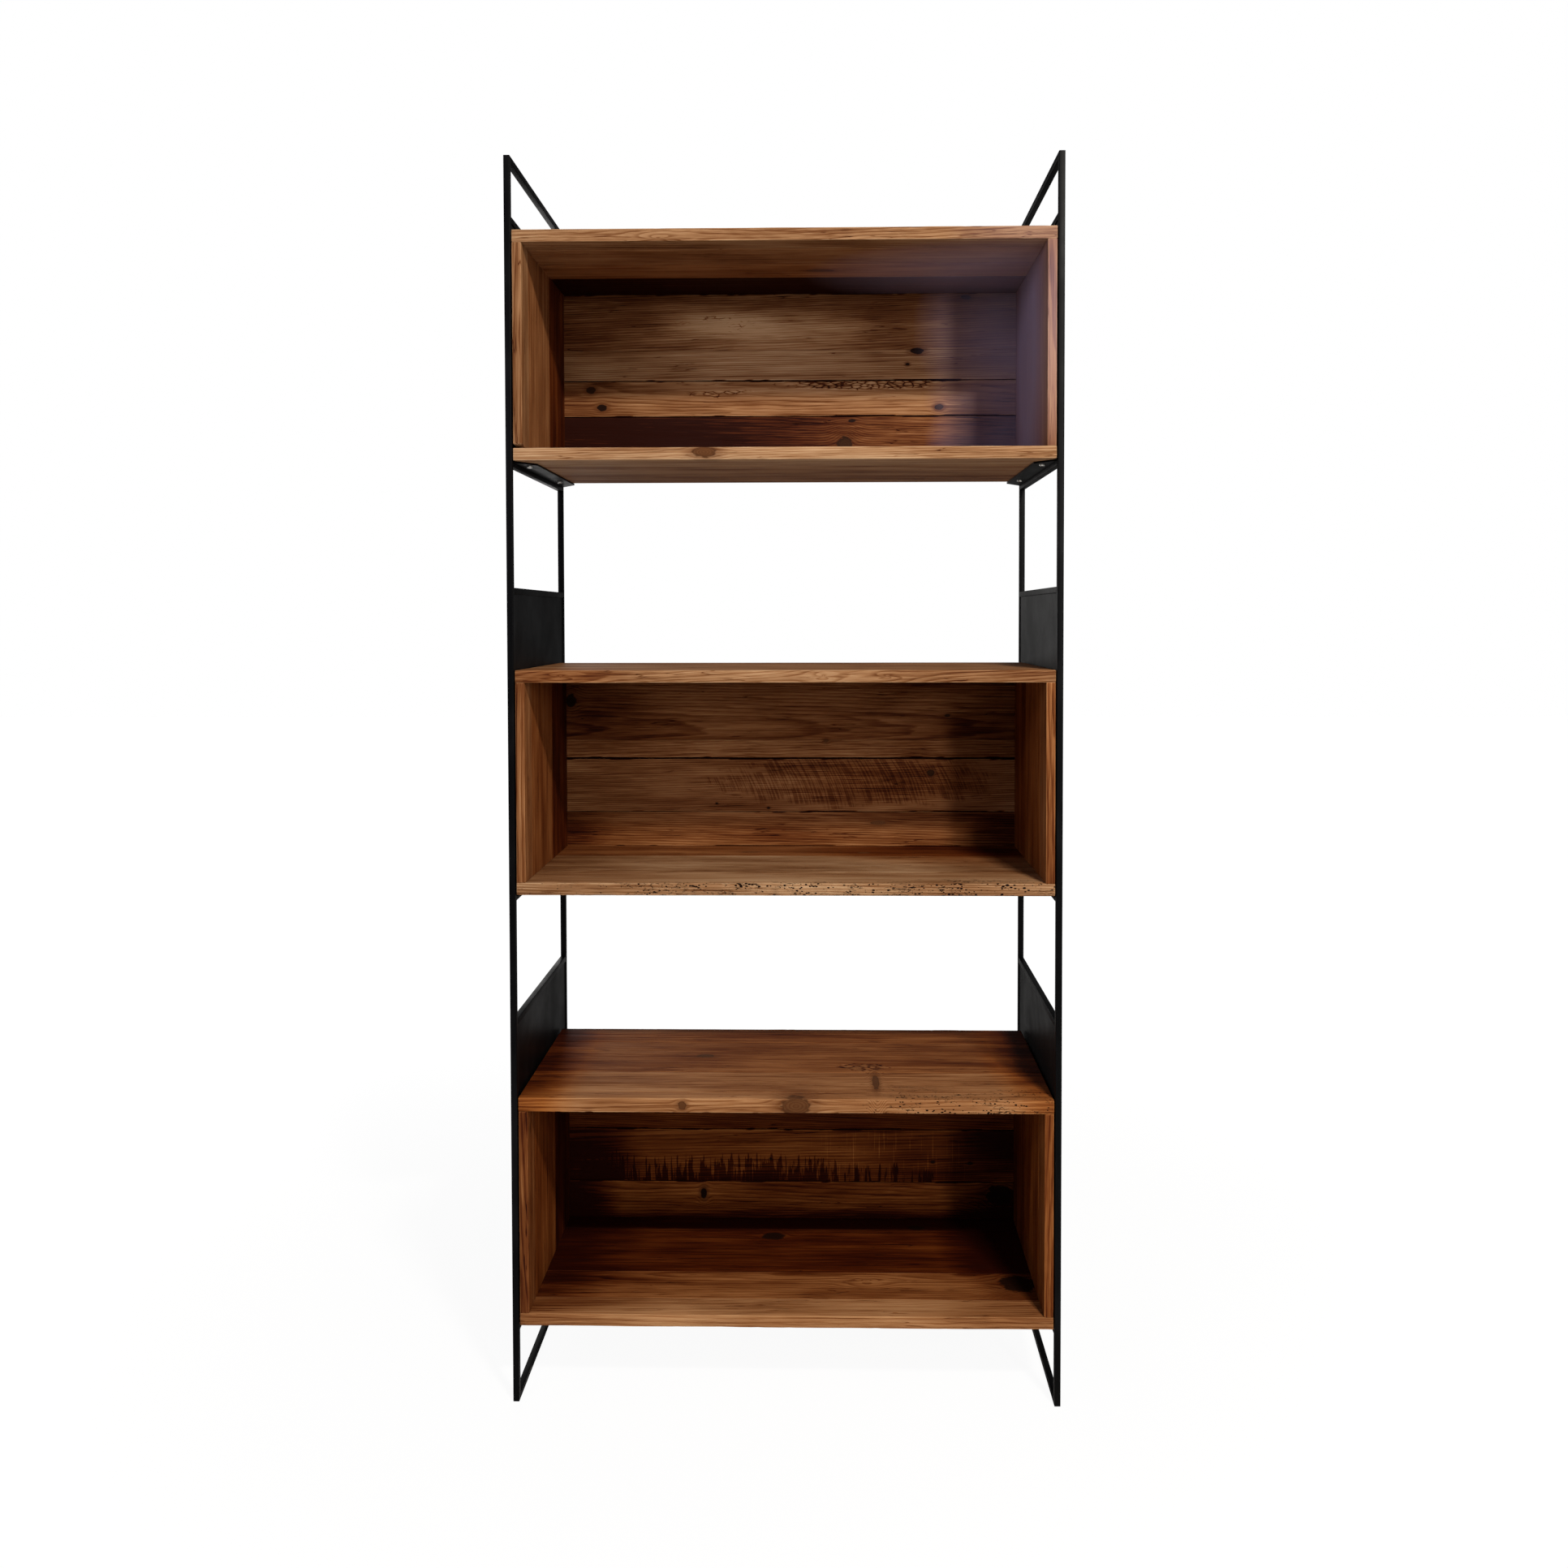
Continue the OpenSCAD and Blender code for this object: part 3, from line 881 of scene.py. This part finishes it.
def middle_box():
    """The middle box: redder, with an open joint and saw marks in its back."""
    return [
        Board("middle_box_top_board", SHELF_BOARD,
              [Strip(70, 0.31, 0.15, 0.6), Strip(150, 0.32, 0.1, 0.4), Strip(125, 0.34, 0.2, 0.4)],
              knots=[Knot(0.085, 0.0, 0.5, 60, 40, SWIRL, 11), Knot(0.572, 0.0, 0.5, 26, 30, SWIRL, 9),
                     Knot(0.69, 0.0, 0.5, 46, 30, SWIRL, 10)],
              blots=[Blot("flake", 0.5, 0.97, 0.16, 0.05, 0.5), Blot("warm", 0.08, 0.0, 0.09, 0.3, 0.3),
                     Blot("dark", 0.08, 0.0, 0.09, 0.2, 0.08)], shape=wavy_back),
        Board("middle_box_bottom_board", SHELF_BOARD,
              [Strip(87, 0.22, 0.1, 0.3), Strip(150, 0.29, 0.0, 0.4), Strip(108, 0.46, 0.6, 0.3)],
              knots=[Knot(0.419, 0.79, 0.9, 20, 6, 0.1), Knot(0.656, 0.77, 0.9, 14, 5, 0.3)],
              blots=[Blot("worm", 0.5, -0.02, 0.42, 0.07, 1.0), Blot("worm", 0.86, -0.02, 0.16, 0.12, 1.3),
                     # The dark, red blot at the rear right and the dark one at the right end are painted
                     # shade: the right board's shadow
                     Blot("dark", 0.86, 0.86, 0.22, 0.22, 0.3), Blot("warm", 0.86, 0.8, 0.22, 0.28, 0.6),
                     Blot("dark", 0.94, 0.4, 0.14, 0.3, 0.14), Blot("dark", 0.04, 0.4, 0.18, 0.35, 0.16)],
              wear=0.6),
        *side_boards("middle", 0.05, 0.3),
        Board("middle_box_back_plank_1", PLANK, [Strip(33, 0.38, 0.45, 0.6), Strip(122, 0.47, 0.5, 0.6)],
              knots=[Knot(0.838, 0.5, 0.1, 5, 3, 0.9), Knot(0.027, 0.68, 0.1, 10, 12, 1.0),
                     Knot(0.577, 0.2, 0.1, 5, 4, 0.3)],
              # The dark blots at the two ends are painted shade in the box's inner corners
              blots=[Blot("dark", 0.0, 0.6, 0.16, 0.6, 0.24), Blot("dark", 1.0, 0.5, 0.12, 0.9, 0.14),
                     Blot("dark", 0.35, 0.6, 0.14, 0.25, -0.12)]),
        Board("middle_box_back_plank_2", PLANK, [Strip(1, 0.34, 0.45, 0.2)],
              knots=[Knot(0.341, 0.15, 0.1, 2.5, 2, 1.0), Knot(0.453, 0.07, 0.1, 3, 2, 1.0),
                     Knot(0.803, 0.74, 0.1, 7, 6, 0.8)],
              blots=[Blot("saw", 0.64, 0.58, 0.26, 0.42, 1.0), Blot("dark", 0.68, 0.7, 0.2, 0.4, 0.12),
                     Blot("warm", 0.74, 0.6, 0.2, 0.5, 0.2)]),
        Board("middle_box_back_plank_3", PLANK, [Strip(1, 0.44, 0.6, 0.3)],
              knots=[Knot(0.69, 0.68, 0.1, 15, 4, 0.1)],
              # The dark blots at both ends are painted shade in the box's inner corners
              blots=[Blot("worm", 0.36, 0.72, 0.2, 0.04, 0.9), Blot("dark", 0.98, 0.6, 0.1, 0.6, 0.4),
                     Blot("dark", 0.0, 0.5, 0.08, 0.7, 0.3)]),
    ]


def top_box():
    """The top box: the palest back, greyed on the right by a painted haze of cool light, under a dark rear
    strip.
    """
    return [
        Board("top_box_top_board", SHELF_BOARD,
              [Strip(47, 0.33, 0.05, 0.7), Strip(91, 0.33, 0.3, 0.3), Strip(82, 0.34, 0.5, 0.2),
               Strip(125, 1.15, 0.6, 0.1)],
              knots=[Knot(0.566, 0.513, 0.1, 24, 7, 0.4), Knot(0.27, 0.0, 0.2, 56, 40, SWIRL, 11)],
              # At the right end: a painted haze of cool light, and a lighter patch over the dark rear strip
              # that is painted haze too
              blots=[Blot("dust_and_painted_haze", 0.98, 0.6, 0.3, 0.44, 0.58), Blot("dark", 0.92, 0.8, 0.26, 0.3, -0.35),
                     Blot("dark", 0.21, 0.2, 0.07, 0.05, 0.14)]),
        Board("top_box_bottom_board", SHELF_BOARD,
              [Strip(90, 0.16, 0.1, 0.5), Strip(140, 0.28, 0.2, 0.4), Strip(115, 0.34, 0.3, 0.3)],
              knots=[Knot(0.353, 0.0, 0.6, 20, 30, 0.3, 9)]),
        *side_boards("top", 0.0, 0.0, left_shape=short_foot),
        Board("top_box_back_plank_1", PLANK, [Strip(55, 0.26, 0.1, 0.2), Strip(102, 0.36, 0.2, 0.3)],
              knots=[Knot(0.773, 0.335, 0.1, 13, 6, 1.0), Knot(0.752, 0.18, 0.1, 4, 3, 1.0),
                     Knot(0.876, 0.95, 0.1, 10, 4, 0.9)],
              blots=[Blot("flake", 0.36, 0.66, 0.1, 0.12, 0.42), Blot("dark", 0.36, 0.66, 0.1, 0.12, -0.34),
                     Blot("dark", 0.52, 0.58, 0.14, 0.16, -0.22),
                     # The dark blots at the left end are painted shade in the box's left corner
                     Blot("dark", 0.04, 0.75, 0.18, 0.4, 0.14), Blot("dark", 0.45, 0.97, 0.4, 0.1, 0.14),
                     Blot("dark", 0.74, 0.8, 0.12, 0.3, 0.16), Blot("dark", 0.0, 0.5, 0.06, 0.9, 0.12),
                     # At the right end: a painted haze of cool light
                     Blot("dust_and_painted_haze", 1.02, 0.6, 0.17, 0.9, 0.56)]),
        Board("top_box_back_plank_2", PLANK, [Strip(1, 0.27, 0.3, 0.7)],
              knots=[Knot(0.074, 0.76, 0.1, 9, 7, 0.9), Knot(0.098, 0.26, 0.1, 10, 6, 1.0),
                     Knot(0.819, 0.24, 0.1, 8, 6, 0.9)],
              blots=[Blot("flake", 0.66, 0.92, 0.17, 0.16, 1.0),
                     # The dark blot at the left end is painted shade in the box's left corner
                     Blot("flake", 0.34, 0.66, 0.09, 0.12, 0.5), Blot("dark", 0.0, 0.5, 0.12, 0.9, 0.28),
                     # At the right end: a painted haze of cool light
                     Blot("dust_and_painted_haze", 1.02, 0.5, 0.155, 0.9, 0.46)]),
        Board("top_box_back_plank_3", PLANK, [Strip(1, 0.7, 0.4, 0.4)],
              knots=[Knot(0.618, 0.44, 0.1, 15, 20, 0.8), Knot(0.634, 0.92, 0.1, 8, 3, 1.0)],
              # Darker at the left end: painted shade in the box's left corner. Lighter near the right end,
              # and cool grey at the end: painted haze of light
              blots=[Blot("dark", 0.05, 0.5, 0.4, 0.9, 0.36), Blot("dark", 0.82, 0.4, 0.22, 0.8, -0.18),
                     Blot("dust_and_painted_haze", 1.02, 0.5, 0.155, 0.9, 0.42)]),
    ]


def side_boards(box, extra, redder, left_shape=None):
    """The two upright side boards of a box, each of three strips, the rear one darkest."""
    # Darkens the front edge of each side board over its whole height
    darker_front_edge = Blot("dark", 0.5, -0.03, 3.0, 0.03, 0.2)
    dust_and_painted_haze, holes = [], []
    if box == "top":
        # The right board of the top box gets a painted haze of cool light, and is lightened under it
        dust_and_painted_haze = [Blot("dust_and_painted_haze", 0.6, 0.62, 0.9, 0.48, 0.9), Blot("dark", 0.5, 0.6, 0.8, 0.6, -0.12)]
    if box == "lower":
        holes = [Knot(0.9, 0.05, 1.0, 12, 2.5, 1.0)]
    left = [Strip(50, 0.34 + extra, 0.1 + redder, 0.2), Strip(155, 0.42 + extra, 0.4 + redder, 0.2),
            Strip(127, 0.74 + extra, 0.9 + redder, 0.2)]
    right = [Strip(58, 0.30 + extra, 0.3 + redder, 0.2), Strip(147, 0.36 + extra, 0.6 + redder, 0.2),
             Strip(127, 0.50 + extra, 0.9 + redder, 0.2)]
    return [Board(f"{box}_box_left_board", SIDE_BOARD, left, holes, [darker_front_edge], shape=left_shape),
            Board(f"{box}_box_right_board", SIDE_BOARD, right, blots=[darker_front_edge, *dust_and_painted_haze])]


# Seed of the first board. Each next board's is one more.
FIRST_SEED = 11


def add_boards(material):
    """Builds every board and plank, each with its own seed."""
    boards = lower_box() + middle_box() + top_box()
    for seed, board in enumerate(boards, FIRST_SEED):
        board.build(material, seed)


# ---------- steel

BAR_ROUNDING = 0.9 * MM
BAR_ROUNDING_STEPS = 3
SHARP_STEEL = math.radians(35)


def add_bar(node, material):
    """A square bar with softly rounded edges in its CAD node's box."""
    low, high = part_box(node)
    shape = bmesh.new()
    bmesh.ops.create_cube(shape, size=1)
    for vertex in shape.verts:
        vertex.co = Vector((low[i] + (vertex.co[i] + 0.5) * (high[i] - low[i]) for i in range(3)))
    bmesh.ops.bevel(shape, geom=shape.edges[:], offset=BAR_ROUNDING, segments=BAR_ROUNDING_STEPS,
                    profile=0.5, affect="EDGES")
    mesh = bpy.data.meshes.new(node + "_bar")
    shape.to_mesh(mesh)
    shape.free()
    mesh.shade_smooth()
    mesh.set_sharp_from_angle(angle=SHARP_STEEL)
    add_piece(mesh, material, node)


def finish_node(node, material):
    """Gives a CAD node that stays in view a better material."""
    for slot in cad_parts[node].material_slots:
        slot.material = material


def add_steel(material):
    """Rebuilds the bars of both side frames, and coats their sheets and flanges."""
    for side in SIDES:
        for name in ("front_post", "back_post", "top_rail", "bottom_rail"):
            add_bar(f"{side}_{name}", material)
        for box in BOXES:
            for name in ("upper_rail", "support_rail"):
                add_bar(f"{side}_{box}_{name}", material)
            for name in ("side_sheet", "flange"):
                finish_node(f"{side}_{box}_{name}", material)


def finish_fasteners():
    """Coats the screws, the nails and the dowels."""
    finish_node("flange_screws", plated_material("zinc_plate", **ZINC))
    finish_node("back_nails", plated_material("dull_nail", **DULL_STEEL))
    finish_node("corner_dowels", dowel_material())


# ---------- floor and light

Light = namedtuple("Light", "name place size power colour")
LIGHTS = (
    # A ceiling lamp ahead of the bookcase and to its right, and a tall window light below it
    Light("lamp", (1.15, -2.54, 3.20), (0.50, 0.12), 90, (1.0, 0.94, 0.85)),
    Light("window", (1.50, -3.10, 1.90), (0.25, 0.9), 30, (1.0, 0.98, 0.97)),
    # A weak soft light behind the bookcase
    Light("rear", (-1.60, 3.00, 1.60), (1.6, 1.6), 15, (1.0, 0.98, 0.96)),
    # A cooler glow from the upper left, which greys the right end of the top box
    Light("glow", (-1.50, -1.90, 2.15), (1.0, 0.6), 10, (0.84, 0.82, 1.0)))
WHITE = (1, 1, 1, 1)
FILL_STRENGTH = 0.13
FLOOR_SIZE = 14
FLOOR_STEPS = 24
# Gap that keeps the floor clear of the bottom rails
FLOOR_GAP = 0.2 * MM
FLOOR_COLOURS = ((0.78, 0.78, 0.78), (0.82, 0.82, 0.82))
# The camera sees a floor that glows almost white, with only a trace of shadow on it. The glow grows
# with the distance from the middle of the bookcase.
FLOOR_GLOW_PLACES = (0.4, 2.6)
FLOOR_GLOW = (0.94, 1.0)
FLOOR_TRACE = 0.08


def add_floor():
    """A pale floor that looks white to the camera, like the photo's background."""
    s = Shader("pale_floor")
    place = s.add("ShaderNodeTexCoord").outputs["Object"]
    seen = s.add("ShaderNodeLightPath").outputs["Is Camera Ray"]
    pale = s.mix(s.noise(place, scale=3.0, detail=3.0), *FLOOR_COLOURS)
    s.coat("Base Color", s.mix(seen, pale, (FLOOR_TRACE,) * 3))
    s.coat("Roughness", 0.9)
    s.coat("Specular IOR Level", 0.0)
    s.coat("Emission Color", WHITE)
    far = s.vector("LENGTH", place).outputs["Value"]
    glow = s.between(far, *FLOOR_GLOW_PLACES, *FLOOR_GLOW)
    s.coat("Emission Strength", s.calc("MULTIPLY", seen, glow))
    shape = bmesh.new()
    bmesh.ops.create_grid(shape, x_segments=FLOOR_STEPS, y_segments=FLOOR_STEPS, size=FLOOR_SIZE)
    mesh = bpy.data.meshes.new("floor")
    shape.to_mesh(mesh)
    shape.free()
    mesh.materials.append(s.material)
    floor = bpy.data.objects.new("floor", mesh)
    floor.location.z = cad_bounds[0].z - FLOOR_GAP
    bpy.context.scene.collection.objects.link(floor)


def add_light(light):
    """A rectangular light that faces the middle of the bookcase."""
    data = bpy.data.lights.new(light.name, "AREA")
    data.shape = "RECTANGLE"
    data.size, data.size_y = light.size
    data.energy, data.color = light.power, light.colour
    lamp = bpy.data.objects.new(light.name, data)
    lamp.location = light.place
    aim = (cad_bounds[0] + cad_bounds[1]) / 2 - lamp.location
    lamp.rotation_mode = "QUATERNION"
    lamp.rotation_quaternion = aim.to_track_quat("-Z", "Y")
    bpy.context.scene.collection.objects.link(lamp)


def add_world():
    """Dim even fill, in front of a white background."""
    world = bpy.data.worlds.new("studio")
    bpy.context.scene.world = world
    world.use_nodes = True
    tree = world.node_tree
    tree.nodes.clear()
    choose = tree.nodes.new("ShaderNodeMixShader")
    tree.links.new(tree.nodes.new("ShaderNodeLightPath").outputs["Is Camera Ray"], choose.inputs[0])
    for socket, strength in ((choose.inputs[1], FILL_STRENGTH), (choose.inputs[2], 1.0)):
        background = tree.nodes.new("ShaderNodeBackground")
        background.inputs["Color"].default_value = WHITE
        background.inputs["Strength"].default_value = strength
        tree.links.new(background.outputs[0], socket)
    out = tree.nodes.new("ShaderNodeOutputWorld")
    tree.links.new(choose.outputs[0], out.inputs["Surface"])


add_camera()
add_boards(wood_material())
add_steel(steel_material())
finish_fasteners()
add_floor()
for light in LIGHTS:
    add_light(light)
add_world()
bpy.context.scene.view_settings.view_transform = "Standard"
